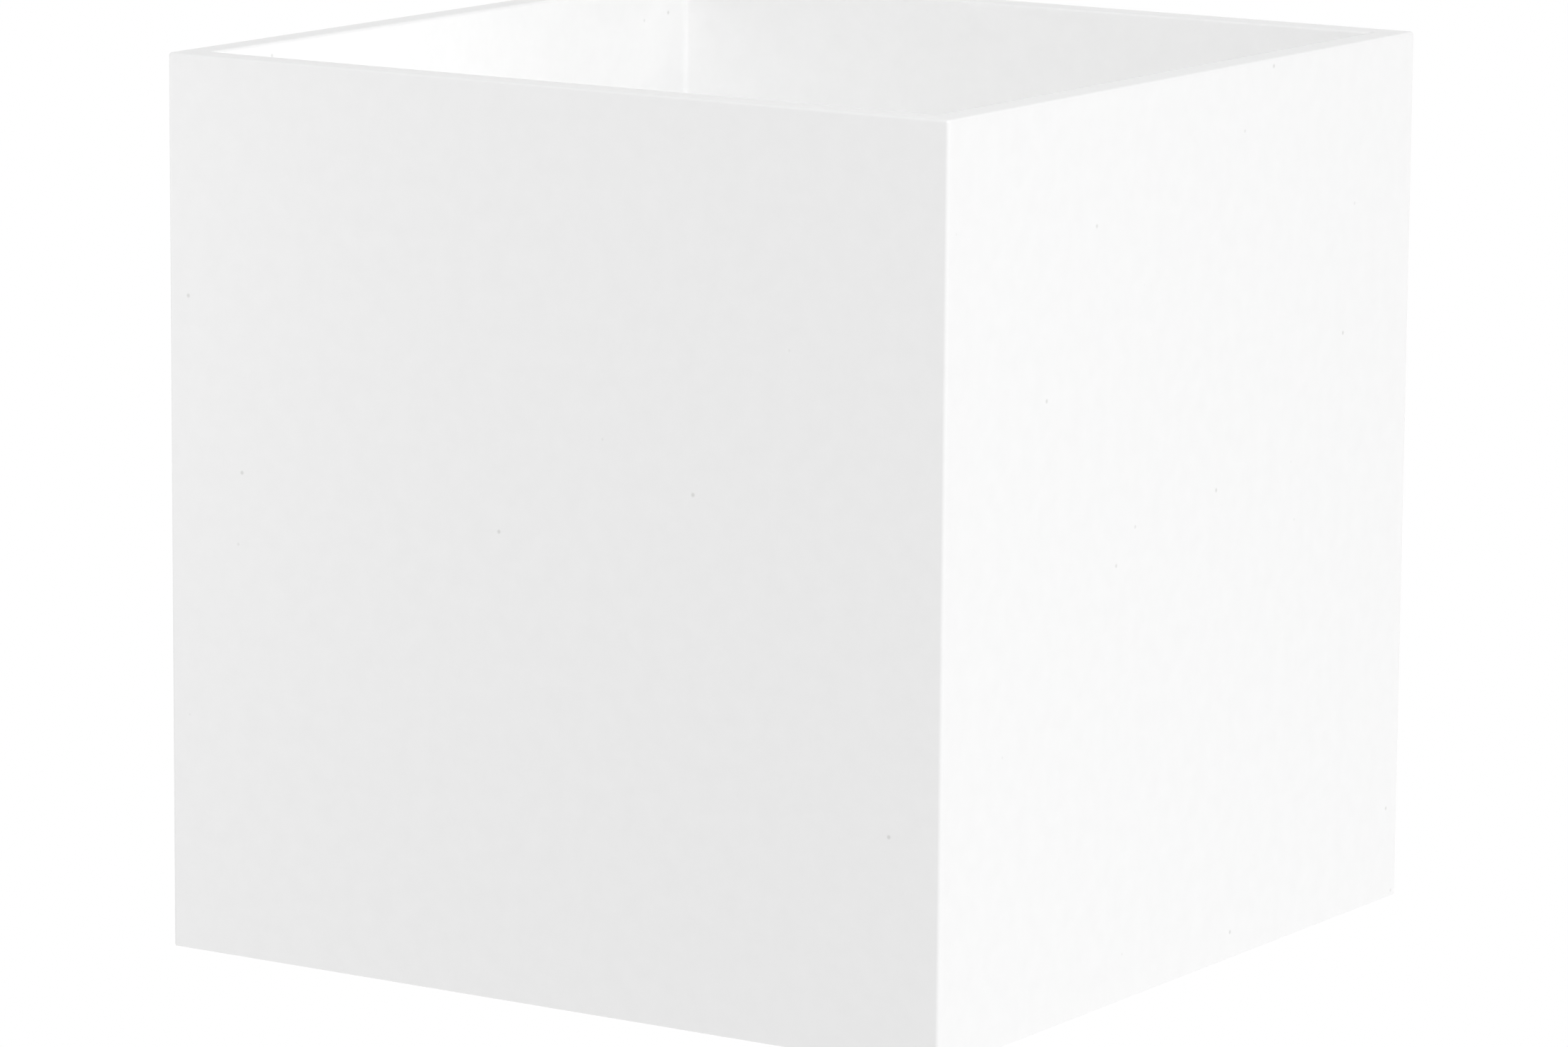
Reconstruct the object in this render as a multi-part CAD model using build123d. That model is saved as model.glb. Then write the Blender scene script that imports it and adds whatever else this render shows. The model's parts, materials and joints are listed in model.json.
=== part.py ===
from build123d import *
import math
import os

# Square wall lamp: an open square tube on a wall plate, with a plug-in capsule lamp inside.
# Everything is in millimetres. The origin is the middle of the lamp's back, on the wall.
# +Z is up and -Y points away from the wall. A depth is a distance from the wall, so a
# feature at depth d lies at y = -d.

# How far a cut runs past the face that it opens
past = 1.0

# Body tube: 3.2 mm of metal with 0.1 mm of powder coat on each face
tube_side = 100.0
tube_height = 100.0
tube_wall = 3.4
tube_corner_radius = 0.45
tube_inner_radius = 0.6
rim_radius = 0.35

# Window in the tube's back wall
window_width = 80.0
window_height = 42.0
window_radius = 4.0

# Wall plate
plate_thickness = 1.5
plate_gap = 1.0
plate_radius = 3.0
wall_slot_spacing = 60.0
wall_slot_length = 10.0
wall_slot_width = 4.6
plate_cable_hole = 16.0

# Studs, toothed washers and knurled nuts
stud_spacing = 34.0
stud_diameter = 4.0
stud_collar = 5.4
stud_end_depth = 12.5
stud_end_bevel = 0.5
washer_diameter = 8.0
washer_thickness = 0.6
washer_teeth = 8
washer_notch_depth = 0.7
washer_notch_width = 0.9
washer_play = 0.3
nut_diameter = 10.0
nut_height = 6.0
nut_collar_diameter = 7.6
nut_collar_height = 1.6
nut_knurls = 20
nut_knurl_side = 0.8

# Gear tray
tray_width = 90.0
tray_thickness = 1.5
tray_top = 26.0
tray_bottom = -36.0
tray_lip = 6.0
tray_bend = 1.5
tray_stud_hole = 4.5
head_window_width = 14.0
head_window_height = 12.0
head_window_radius = 2.0
boss_height = 1.0
boss_clearance = 0.1
boss_step = 0.3

# Cable grommet
grommet_bore = 7.0
grommet_neck = 11.0
grommet_flange = 14.0
grommet_flange_thickness = 1.5
grommet_bevel = 0.6

# Holder bridge
bridge_width = 12.0
bridge_thickness = 1.2
bridge_stand_off = 13.2
bridge_leg = 10.6
bridge_foot_end = 19.0
bridge_bend = 1.8
rivet_height = 15.0
rivet_diameter = 3.2
rivet_head = 5.6
rivet_head_height = 1.4
rivet_head_bevel = 0.9
rivet_tail = 4.8
rivet_tail_height = 1.2

# Lamp holder, in two ceramic halves
holder_width = 18.0
holder_length = 21.0
holder_radius = 5.0
base_height = 8.0
cap_height = 11.0
cap_bevel = 0.8
holder_screw_spacing = 13.0
holder_screw_diameter = 2.5
holder_screw_hole = 2.9
holder_screw_head = 5.0
holder_screw_head_height = 1.7
holder_screw_bevel = 0.5
holder_screw_slot_width = 0.7
holder_screw_slot_depth = 0.8
holder_screw_end = 0.3
holder_nut_flats = 5.0
holder_nut_height = 2.0
nut_pocket_depth = 2.6
pin_spacing = 9.0
seat_width = 14.4
seat_length = 6.2
seat_depth = 4.0
seat_radius = 1.6
contact_cell_width = 3.4
contact_cell_length = 4.4
base_cell_depth = 5.2
lead_channel = 2.2
lead_exit_depth = 22.1

# Sprung contacts
contact_strip = 0.4
contact_leaf_width = 4.0
contact_half_gap = 0.7
contact_flare = 1.35
contact_flare_length = 1.2
contact_fork_bend = 0.35
contact_back_depth = 25.1
contact_mouth_depth = 32.3
contact_tail_width = 2.0
contact_tail_bend = 0.5
contact_tail_inset = 2.2

# Capsule lamp
pin_wire = 0.9
pin_sides = 10
pin_loop = 2.0
pin_length = 7.5
neck_clearance = 0.3
neck_radius = 1.3
capsule_diameter = 16.0
capsule_bevel = 1.2
capsule_collar = 9.0
capsule_spigot = 2.0
cover_wall = 1.0
cover_length = 30.6
cover_dome = 6.0
core_side = 8.0
core_radius = 0.5
core_length = 21.6
led_length = 3.5
led_width = 2.8
led_height = 0.7
led_rows = 5
led_first = 2.3
led_pitch = 4.2

# Terminal block, along the bottom of the tray
block_height = -27.0
block_pitch = 10.0
block_poles = 3
block_length = 13.0
block_barrel = 6.2
block_barrel_bevel = 1.0
block_turret = 5.6
block_turret_bore = 3.6
block_turret_depth = 10.5
block_web_length = 9.0
block_web_depth = 4.5
sleeve_side = 4.6
sleeve_length = 10.0
sleeve_bore = 3.2
sleeve_depth = 5.0
terminal_screw_offset = 2.9
terminal_screw_diameter = 2.6
terminal_screw_length = 4.4
terminal_screw_lift = 0.2
terminal_slot_width = 0.6
terminal_slot_depth = 0.8
block_screw_diameter = 2.0
block_screw_head = 3.5
block_screw_head_height = 1.4
block_screw_bevel = 0.3

# Earth screw and tag, beside the block
earth_x = 28.0
earth_z = -27.5
earth_screw_diameter = 3.5
earth_head_diameter = 6.5
earth_head_height = 2.4
earth_head_bevel = 0.7
earth_slot_width = 0.9
earth_slot_depth = 1.2
tag_thickness = 0.6
tag_ring = 7.2
tag_neck_width = 2.6
tag_neck_length = 0.6
tag_barrel = 3.2
tag_barrel_length = 5.0

# Leads
lead_diameter = 2.0
lead_sides = 12
lead_in_block = 1.2
lead_in_tag = 2.0
lead_gap = 0.1

# Depths that follow from the stack
plate_front = plate_thickness
tray_back = tube_wall
tray_front = tray_back + tray_thickness
bridge_back = tray_front + bridge_stand_off - bridge_thickness
bridge_front = tray_front + bridge_stand_off
cap_back = bridge_front + base_height
cap_front = cap_back + cap_height
seat_floor = cap_front - seat_depth
neck_back = seat_floor + neck_clearance
collar_back = cap_front + neck_clearance
collar_front = collar_back + capsule_collar
spigot_front = collar_front + capsule_spigot
block_wire_depth = tray_front + sleeve_depth
tag_axis = tray_front + washer_thickness + tag_barrel / 2
tag_barrel_base = earth_z + tag_ring / 2 + tag_neck_length

os.makedirs("parts", exist_ok=True)


def at_depth(depth):
    """The plane parallel to the wall at a depth from it, facing away from the wall."""
    return Plane.XZ.offset(depth)


def plate(outline, back, front):
    """A flat piece of the given outline between two depths."""
    return extrude(at_depth(back) * outline, amount=front - back)


def disc(x, z, diameter, back, front):
    """A round piece whose axis points away from the wall."""
    return plate(Pos(x, z) * Circle(diameter / 2), back, front)


def turned(outline):
    """A turned piece about the capsule's axis: the outline is in radius and depth."""
    face = make_face(Polyline(*[(radius, -depth) for radius, depth in outline], close=True))
    return revolve(face, Axis.Y)


def bent_strip(points, thickness, radius):
    """The section of a bent strip from the corners of its centre line."""
    return trace(FilletPolyline(*points, radius=radius), thickness)


def wire(path, diameter, sides):
    """A wire or lead along a path, with flats round it in place of a true circle."""
    section = RegularPolygon(diameter / 2, sides)
    return sweep(Plane(origin=path @ 0, z_dir=path % 0) * section, path=path)


def through(x, z, diameter, back, front):
    """A round hole that runs past both faces of a wall between two depths."""
    return disc(x, z, diameter, back - past, front + past)


def save(node, *solids):
    """Write one node, as one solid or as a group of separate solids."""
    shape = solids[0] if len(solids) == 1 else Compound(children=list(solids))
    export_step(shape, f"parts/{node}.step")


# Body tube: an extruded square section with a window in its back wall
def body_tube():
    outer = RectangleRounded(tube_side, tube_side, tube_corner_radius)
    bore_side = tube_side - 2 * tube_wall
    bore = RectangleRounded(bore_side, bore_side, tube_inner_radius)
    section = Plane.XY.offset(-tube_height / 2) * (Pos(0, -tube_side / 2) * (outer - bore))
    tube = extrude(section, amount=tube_height)
    rims = tube.faces().sort_by(Axis.Z)
    tube = fillet(rims[0].edges() + rims[-1].edges(), rim_radius)
    window = RectangleRounded(window_width, window_height, window_radius)
    return tube - plate(window, -past, tube_wall + past)


# Wall plate and what stands on it
def wall_plate():
    outline = RectangleRounded(window_width - 2 * plate_gap, window_height - 2 * plate_gap, plate_radius)
    outline -= Circle(plate_cable_hole / 2)
    for side in (-1, 1):
        outline -= Pos(side * wall_slot_spacing / 2) * SlotOverall(wall_slot_length, wall_slot_width)
        outline -= Pos(side * stud_spacing / 2) * Circle(stud_collar / 2)
    return plate(outline, 0, plate_front)


def plate_stud(x):
    collar = disc(x, 0, stud_collar, 0, plate_front)
    shank = disc(x, 0, stud_diameter, plate_front, stud_end_depth)
    shank = chamfer(shank.faces().sort_by(Axis.Y)[0].edges(), stud_end_bevel)
    return collar + shank


def stud_washer(x, diameter, bore, back):
    ring = Circle(diameter / 2) - Circle(bore / 2)
    ring -= PolarLocations(diameter / 2, washer_teeth) * Rectangle(2 * washer_notch_depth, washer_notch_width)
    return plate(Pos(x, 0) * ring, back, back + washer_thickness)


def thumb_nut(x):
    back = tray_front + washer_thickness
    collar_top = back + nut_collar_height
    collar = disc(x, 0, nut_collar_diameter, back, collar_top)
    grooves = PolarLocations(nut_diameter / 2, nut_knurls)
    rim = Circle(nut_diameter / 2) - grooves * Rectangle(nut_knurl_side, nut_knurl_side, rotation=45)
    head = plate(Pos(x, 0) * rim, collar_top, back + nut_height)
    return collar + head - through(x, 0, stud_diameter, back, back + nut_height)


# Gear tray: a channel bent from sheet, with bosses that sit in the corners of the window
def gear_tray():
    middle = tray_back + tray_thickness / 2
    lip_end = tray_back + tray_lip
    high = tray_top - tray_thickness / 2
    low = tray_bottom + tray_thickness / 2
    corners = [(-lip_end, high), (-middle, high), (-middle, low), (-lip_end, low)]
    tray = extrude(Plane.YZ * bent_strip(corners, tray_thickness, tray_bend), amount=tray_width / 2, both=True)
    head_window = RectangleRounded(head_window_width, head_window_height, head_window_radius)
    boss_x = window_width / 2 - window_radius
    boss_z = window_height / 2 - window_radius
    boss = 2 * (window_radius - boss_clearance)
    dimple = boss - 2 * boss_step
    for side in (-1, 1):
        tray -= through(side * stud_spacing / 2, 0, tray_stud_hole, tray_back, tray_front)
        tray -= plate(Pos(side * wall_slot_spacing / 2) * head_window, tray_back - past, tray_front + past)
        tray -= through(0, side * rivet_height, rivet_diameter, tray_back, tray_front)
        tray -= through(side * block_pitch / 2, block_height, block_screw_diameter, tray_back, tray_front)
        for level in (-1, 1):
            tray += disc(side * boss_x, level * boss_z, boss, tray_back - boss_height, tray_back)
            tray -= disc(side * boss_x, level * boss_z, dimple, tray_front - boss_height, tray_front)
    tray -= through(0, 0, grommet_neck, tray_back, tray_front)
    return tray - through(earth_x, earth_z, earth_screw_diameter, tray_back, tray_front)


def cable_grommet():
    bore, neck, flange = grommet_bore / 2, grommet_neck / 2, grommet_flange / 2
    back, front = tray_back - grommet_flange_thickness, tray_front + grommet_flange_thickness
    outline = [(bore, back), (flange, back), (flange, tray_back), (neck, tray_back)]
    outline += [(neck, tray_front), (flange, tray_front), (flange - grommet_bevel, front), (bore, front)]
    return turned(outline)


# Holder bridge and its rivets
def holder_bridge():
    foot = tray_front + bridge_thickness / 2
    web = bridge_front - bridge_thickness / 2
    rise = [(-foot, bridge_foot_end), (-foot, bridge_leg), (-web, bridge_leg)]
    fall = [(depth, -height) for depth, height in reversed(rise)]
    section = bent_strip(rise + fall, bridge_thickness, bridge_bend)
    bridge = extrude(Plane.YZ * section, amount=bridge_width / 2, both=True)
    foot_front = tray_front + bridge_thickness
    for level in (-1, 1):
        bridge -= through(0, level * rivet_height, rivet_diameter, tray_front, foot_front)
        bridge -= through(0, level * holder_screw_spacing / 2, holder_screw_hole, bridge_back, bridge_front)
    return bridge


def bridge_rivet(z):
    foot_front = tray_front + bridge_thickness
    head = disc(0, z, rivet_head, foot_front, foot_front + rivet_head_height)
    head = chamfer(head.faces().sort_by(Axis.Y)[0].edges(), rivet_head_bevel)
    tail = disc(0, z, rivet_tail, tray_back - rivet_tail_height, tray_back)
    return head + disc(0, z, rivet_diameter, tray_back, foot_front) + tail


# Lamp holder: base and cap hold a sprung contact for each pin in cells that run through both
def holder_outline():
    outline = RectangleRounded(holder_width, holder_length, holder_radius)
    for level in (-1, 1):
        outline -= Pos(0, level * holder_screw_spacing / 2) * Circle(holder_screw_hole / 2)
    return outline


def contact_cells(back, front):
    cell = Rectangle(contact_cell_width, contact_cell_length)
    return [plate(Pos(side * pin_spacing / 2) * cell, back, front) for side in (-1, 1)]


def holder_base():
    base = plate(holder_outline(), bridge_front, cap_back)
    for cell in contact_cells(cap_back - base_cell_depth, cap_back):
        base -= cell
    reach = (holder_width - pin_spacing) / 2 + past
    for side in (-1, 1):
        centre = Pos(side * (pin_spacing + reach) / 2, -lead_exit_depth, 0)
        base -= centre * Cylinder(lead_channel / 2, reach, rotation=(0, 90, 0))
    return base


def holder_cap():
    cap = plate(holder_outline(), cap_back, cap_front)
    cap = chamfer(cap.faces().sort_by(Axis.Y)[0].outer_wire().edges(), cap_bevel)
    cap -= plate(RectangleRounded(seat_width, seat_length, seat_radius), seat_floor, cap_front)
    for cell in contact_cells(cap_back, seat_floor):
        cap -= cell
    pocket = RegularPolygon(holder_nut_flats / 2, 6, major_radius=False, rotation=30)
    for level in (-1, 1):
        cap -= plate(Pos(0, level * holder_screw_spacing / 2) * pocket, cap_front - nut_pocket_depth, cap_front)
    return cap


def holder_contact(side):
    middle = side * pin_spacing / 2
    throat_depth = contact_mouth_depth - contact_flare_length
    arm = [(contact_flare, contact_mouth_depth), (contact_half_gap, throat_depth)]
    arm += [(contact_half_gap, contact_back_depth)]
    fork = [(middle + x, -depth) for x, depth in arm]
    fork += [(middle - x, -depth) for x, depth in reversed(arm)]
    leaves = bent_strip(fork, contact_strip, contact_fork_bend)
    end = side * (holder_width / 2 - contact_tail_inset)
    route = [(middle, -contact_back_depth), (middle, -lead_exit_depth), (end, -lead_exit_depth)]
    tail = bent_strip(route, contact_strip, contact_tail_bend)
    contact = extrude(leaves, amount=contact_leaf_width / 2, both=True)
    return contact + extrude(tail, amount=contact_tail_width / 2, both=True)


def holder_screw(z):
    back = bridge_back - holder_screw_head_height
    head = disc(0, z, holder_screw_head, back, bridge_back)
    head = chamfer(head.faces().sort_by(Axis.Y)[-1].edges(), holder_screw_bevel)
    slot = Pos(0, z) * Rectangle(holder_screw_head + past, holder_screw_slot_width)
    shank = disc(0, z, holder_screw_diameter, bridge_back, cap_front - holder_screw_end)
    return head - plate(slot, back - past, back + holder_screw_slot_depth) + shank


def holder_nut(z):
    back = cap_front - nut_pocket_depth
    outline = RegularPolygon(holder_nut_flats / 2, 6, major_radius=False, rotation=30)
    outline -= Circle(holder_screw_diameter / 2)
    return plate(Pos(0, z) * outline, back, back + holder_nut_height)


# Capsule lamp: it pulls straight out of the holder
def capsule_base():
    radius = capsule_diameter / 2
    spigot = radius - cover_wall
    outline = [(0, collar_back), (radius - capsule_bevel, collar_back), (radius, collar_back + capsule_bevel)]
    outline += [(radius, collar_front), (spigot, collar_front), (spigot, spigot_front), (0, spigot_front)]
    neck = RectangleRounded(seat_width - 2 * neck_clearance, seat_length - 2 * neck_clearance, neck_radius)
    return turned(outline) + plate(neck, neck_back, collar_back)


def capsule_pin(side):
    reach = pin_loop / 2
    bend = neck_back - pin_length + pin_wire / 2 + reach
    legs = Plane.YZ.offset(side * pin_spacing / 2)
    out = legs * Line((-neck_back, reach), (-bend, reach))
    turn = legs * ThreePointArc((-bend, reach), (-bend + reach, 0), (-bend, -reach))
    home = legs * Line((-bend, -reach), (-neck_back, -reach))
    path = Wire([out.edge(), turn.edge(), home.edge()])
    return wire(path, pin_wire, pin_sides)


def capsule_core():
    outline = RectangleRounded(core_side, core_side, core_radius)
    return plate(outline, spigot_front, spigot_front + core_length)


def capsule_leds():
    leds = []
    end = spigot_front + core_length
    chip = Pos(core_side / 2 + led_height / 2, 0, 0) * Box(led_height, led_length, led_width)
    for row in range(led_rows):
        depth = spigot_front + led_first + row * led_pitch
        for quarter in range(4):
            leds.append(Pos(0, -depth, 0) * Rot(0, 90 * quarter, 0) * chip)
    leds.append(Pos(0, -end - led_height / 2, 0) * Box(led_length, led_height, led_width))
    return leds


def capsule_cover():
    def shell(radius, tip, corner):
        rod = plate(Circle(radius), collar_front, tip)
        return fillet(rod.faces().sort_by(Axis.Y)[0].edges(), corner)

    radius, tip = capsule_diameter / 2, collar_front + cover_length
    inside = shell(radius - cover_wall, tip - cover_wall, cover_dome - cover_wall)
    return shell(radius, tip, cover_dome) - inside


# Terminal block: a barrel for each pole, two screw turrets on each, and webs with fixing holes
def pole_places():
    return [(pole - (block_poles - 1) / 2) * block_pitch for pole in range(block_poles)]


def terminal_screw_places():
    return [(x, block_height + side * terminal_screw_offset) for x in pole_places() for side in (-1, 1)]


def wire_bore(x, length):
    return Pos(x, -block_wire_depth, block_height) * Cylinder(sleeve_bore / 2, length + 2 * past)


def terminal_block():
    web = Pos(0, block_height) * Rectangle(block_pitch * (block_poles - 1), block_web_length)
    for side in (-1, 1):
        web -= Pos(side * block_pitch / 2, block_height) * Circle(block_screw_diameter / 2)
    block = plate(web, tray_front, tray_front + block_web_depth)
    barrel_front = block_wire_depth + block_barrel / 2
    sleeve_back = block_wire_depth - sleeve_side / 2
    sleeve_front = block_wire_depth + sleeve_side / 2
    turret_front = tray_front + block_turret_depth
    for x in pole_places():
        barrel = plate(Pos(x, block_height) * Rectangle(block_barrel, block_length), tray_front, barrel_front)
        block += chamfer(barrel.edges().filter_by(Axis.Z).group_by(Axis.Y)[0], block_barrel_bevel)
    for x, z in terminal_screw_places():
        block += disc(x, z, block_turret, sleeve_front, turret_front)
    for x in pole_places():
        cell = Pos(x, block_height) * Rectangle(sleeve_side, sleeve_length)
        block = block - plate(cell, sleeve_back, sleeve_front) - wire_bore(x, block_length)
    for x, z in terminal_screw_places():
        block -= disc(x, z, block_turret_bore, block_wire_depth, turret_front + past)
    return block


def terminal_sleeve(x):
    back = block_wire_depth - sleeve_side / 2
    front = block_wire_depth + sleeve_side / 2
    sleeve = plate(Pos(x, block_height) * Rectangle(sleeve_side, sleeve_length), back, front)
    sleeve -= wire_bore(x, sleeve_length)
    for side in (-1, 1):
        z = block_height + side * terminal_screw_offset
        sleeve -= disc(x, z, terminal_screw_diameter, block_wire_depth, front + past)
    return sleeve


def terminal_screw(x, z):
    back = block_wire_depth + terminal_screw_lift
    front = back + terminal_screw_length
    screw = disc(x, z, terminal_screw_diameter, back, front)
    slot = Pos(x, z) * Rectangle(terminal_screw_diameter + past, terminal_slot_width)
    return screw - plate(slot, front - terminal_slot_depth, front + past)


def block_screw(x):
    web_front = tray_front + block_web_depth
    head = disc(x, block_height, block_screw_head, web_front, web_front + block_screw_head_height)
    head = chamfer(head.faces().sort_by(Axis.Y)[0].edges(), block_screw_bevel)
    return head + disc(x, block_height, block_screw_diameter, tray_back, web_front)


# Earth: a toothed washer, a ring tag with its barrel upwards, and a pan head screw
def earth_washer():
    return Pos(0, 0, earth_z) * stud_washer(earth_x, tag_ring, earth_screw_diameter, tray_front)


def earth_tag():
    back = tray_front + washer_thickness
    ring = Pos(earth_x, earth_z) * (Circle(tag_ring / 2) - Circle(earth_screw_diameter / 2))
    neck_bottom = earth_z + (tag_ring + earth_screw_diameter) / 4
    neck_top = tag_barrel_base + tag_thickness
    neck = Pos(earth_x, (neck_bottom + neck_top) / 2) * Rectangle(tag_neck_width, neck_top - neck_bottom)
    flat = plate(ring + neck, back, back + tag_thickness)
    centre = Pos(earth_x, -tag_axis, tag_barrel_base + tag_barrel_length / 2)
    bore = Cylinder(lead_diameter / 2, tag_barrel_length + 2 * past)
    return flat + centre * Cylinder(tag_barrel / 2, tag_barrel_length) - centre * bore


def earth_screw():
    seat = tray_front + washer_thickness + tag_thickness
    front = seat + earth_head_height
    head = disc(earth_x, earth_z, earth_head_diameter, seat, front)
    head = chamfer(head.faces().sort_by(Axis.Y)[0].edges(), earth_head_bevel)
    slot = Pos(earth_x, earth_z) * Rectangle(earth_head_diameter + past, earth_slot_width)
    head -= plate(slot, front - earth_slot_depth, front + past)
    return head + disc(earth_x, earth_z, earth_screw_diameter, tray_back, seat)


# Leads: straight runs joined by tangent arcs as large as the runs allow
def corner_radii(points):
    places = [Vector(*point) for point in points]
    radii = []
    for before, corner, after in zip(places, places[1:], places[2:]):
        turn = math.radians((corner - before).get_angle(after - corner))
        shorter = min((corner - before).length, (after - corner).length)
        radii.append(0.45 * shorter / math.tan(turn / 2))
    return radii


def lead(name, points):
    radii = corner_radii(points)
    path = FilletPolyline(*points, radius=radii)
    solid = wire(path, lead_diameter, lead_sides)
    expected = RegularPolygon(lead_diameter / 2, lead_sides).area * path.length
    print(name, "length", round(path.length, 1), "radii", [round(r, 1) for r in radii])
    print(name, "volume", round(solid.volume, 2), "section times length", round(expected, 2))
    return solid


holder_exit = holder_width / 2 - contact_tail_inset + lead_gap
block_entry = block_height + block_length / 2
wire_end = block_entry - lead_in_block
live_x, neutral_x, earth_pole_x = pole_places()

live_route = [
    (-holder_exit, -lead_exit_depth, 0),
    (-14, -lead_exit_depth, 0),
    (-17, -18.5, -6),
    (-13, -12.5, -11.5),
    (live_x, -block_wire_depth, -16),
    (live_x, -block_wire_depth, wire_end),
]
neutral_route = [
    (holder_exit, -lead_exit_depth, 0),
    (13.5, -lead_exit_depth, 0),
    (15.5, -20.5, -8),
    (11.5, -16.5, -13.5),
    (5.5, -13, -15),
    (neutral_x, -block_wire_depth - 0.4, -16.8),
    (neutral_x, -block_wire_depth, wire_end),
]
earth_route = [
    (earth_x, -tag_axis, tag_barrel_base + tag_barrel_length - lead_in_tag),
    (earth_x, -tag_axis, -13),
    (24, -tag_axis - 0.8, -8.2),
    (14, -tag_axis - 2.2, -8.2),
    (earth_pole_x, -block_wire_depth, -13.5),
    (earth_pole_x, -block_wire_depth, wire_end),
]


def build():
    stud_x = stud_spacing / 2
    screw_z = holder_screw_spacing / 2
    save("body_tube", body_tube())
    save("wall_plate", wall_plate())
    save("plate_studs", plate_stud(-stud_x), plate_stud(stud_x))
    save("gear_tray", gear_tray())
    washer_bore = stud_diameter + washer_play
    save("stud_washers", *[stud_washer(x, washer_diameter, washer_bore, tray_front) for x in (-stud_x, stud_x)])
    save("thumb_nuts", thumb_nut(-stud_x), thumb_nut(stud_x))
    save("cable_grommet", cable_grommet())
    save("holder_bridge", holder_bridge())
    save("bridge_rivets", bridge_rivet(-rivet_height), bridge_rivet(rivet_height))
    save("holder_base", holder_base())
    save("holder_cap", holder_cap())
    save("holder_contacts", holder_contact(-1), holder_contact(1))
    save("holder_screws", holder_screw(-screw_z), holder_screw(screw_z))
    save("holder_nuts", holder_nut(-screw_z), holder_nut(screw_z))
    save("terminal_block", terminal_block())
    save("terminal_sleeves", *[terminal_sleeve(x) for x in pole_places()])
    save("terminal_screws", *[terminal_screw(x, z) for x, z in terminal_screw_places()])
    save("block_screws", block_screw(-block_pitch / 2), block_screw(block_pitch / 2))
    save("earth_washer", earth_washer())
    save("earth_tag", earth_tag())
    save("earth_screw", earth_screw())
    save("lead_live", lead("lead_live", live_route))
    save("lead_neutral", lead("lead_neutral", neutral_route))
    save("lead_earth", lead("lead_earth", earth_route))
    save("capsule_base", capsule_base())
    save("capsule_pins", capsule_pin(-1), capsule_pin(1))
    save("capsule_core", capsule_core())
    save("capsule_leds", *capsule_leds())
    save("capsule_cover", capsule_cover())


build()
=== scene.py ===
import json
import math

import bmesh
import bpy
from mathutils import Matrix, Vector

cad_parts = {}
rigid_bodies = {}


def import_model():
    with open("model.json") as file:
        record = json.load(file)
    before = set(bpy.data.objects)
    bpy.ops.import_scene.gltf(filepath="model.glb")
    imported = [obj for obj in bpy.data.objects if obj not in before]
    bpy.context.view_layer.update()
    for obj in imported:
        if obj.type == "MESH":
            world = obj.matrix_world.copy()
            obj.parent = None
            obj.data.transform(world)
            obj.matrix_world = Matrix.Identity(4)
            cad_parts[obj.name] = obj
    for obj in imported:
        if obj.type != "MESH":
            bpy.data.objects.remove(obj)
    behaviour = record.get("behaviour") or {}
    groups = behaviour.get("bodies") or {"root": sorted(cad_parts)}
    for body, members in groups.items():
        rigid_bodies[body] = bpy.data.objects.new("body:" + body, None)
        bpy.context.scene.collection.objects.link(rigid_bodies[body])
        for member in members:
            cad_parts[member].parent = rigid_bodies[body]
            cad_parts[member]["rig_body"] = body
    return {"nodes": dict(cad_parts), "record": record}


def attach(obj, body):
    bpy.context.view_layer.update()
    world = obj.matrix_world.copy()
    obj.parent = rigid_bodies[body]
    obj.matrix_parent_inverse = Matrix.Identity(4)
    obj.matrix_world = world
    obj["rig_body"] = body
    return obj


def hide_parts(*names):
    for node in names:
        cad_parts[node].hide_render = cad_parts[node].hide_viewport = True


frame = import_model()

MM = 0.001
NODES = frame["nodes"]
SLOTS = {part["node"]: part["material_slot"] for part in frame["record"]["subparts"]}
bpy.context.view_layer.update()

# Where the photograph was taken from, in the lamp's own frame, in metres and degrees
CAMERA_PLACE = (0.4475, -0.7460, 0.1449)
CAMERA_AZIMUTH = 32.85
CAMERA_ELEVATION = 10.22
CAMERA_ROLL = 0.45

# The camera's lens and sensor, in millimetres
CAMERA_LENS = 172.15
CAMERA_SENSOR = 36

# The stage, in metres and watts
FLOOR_DROP = 0.6
FLOOR_RADIUS = 1.1
DAYLIGHT = 0.53
LAMPS = {
    "key_lamp": {"place": (1.15, 0.12, 0.55), "size": 0.7, "power": 2.4},
    "front_lamp": {"place": (0.85, -0.85, 0.75), "size": 0.7, "power": 8.7},
    "near_lamp": {"place": (-0.24, -0.21, 0.02), "size": 0.08, "power": 0.125},
    "back_fill": {"place": (-0.70, 1.00, -0.10), "size": 0.8, "power": 1.2},
    "low_lamp": {"place": (0.0, 0.07, -0.50), "size": 0.5, "power": 4.2},
}

# Sizes that the dressed pieces share with the lamp, in millimetres
# A back, front, end or tip is a depth from the wall
# A core, collar, bore, neck, flange, shank, head, tail, dimple or wire is a diameter
# Where a bevel or a round has two sizes, the first is at the back
LAMP_MIDDLE = (0, -50.0, 0)
PLATE_FRONT = 1.5
TRAY_BACK = 3.4
TRAY_FRONT = 4.9
BRIDGE_SHEET = 1.2

STUD_X = 17.0
STUD_CORE = 3.35
STUD_COLLAR = 5.4
STUD_END = 12.5
STUD_BEVEL = 0.4
THREAD_PITCH = 0.7
THREAD_DIAMETER = 4.0
THREAD_RUN_IN = 0.7
THREAD_RUN_OUT = 0.9
THREAD_ROOT_SHARE = 0.62
THREAD_CREST_SHARE = 0.12

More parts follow.
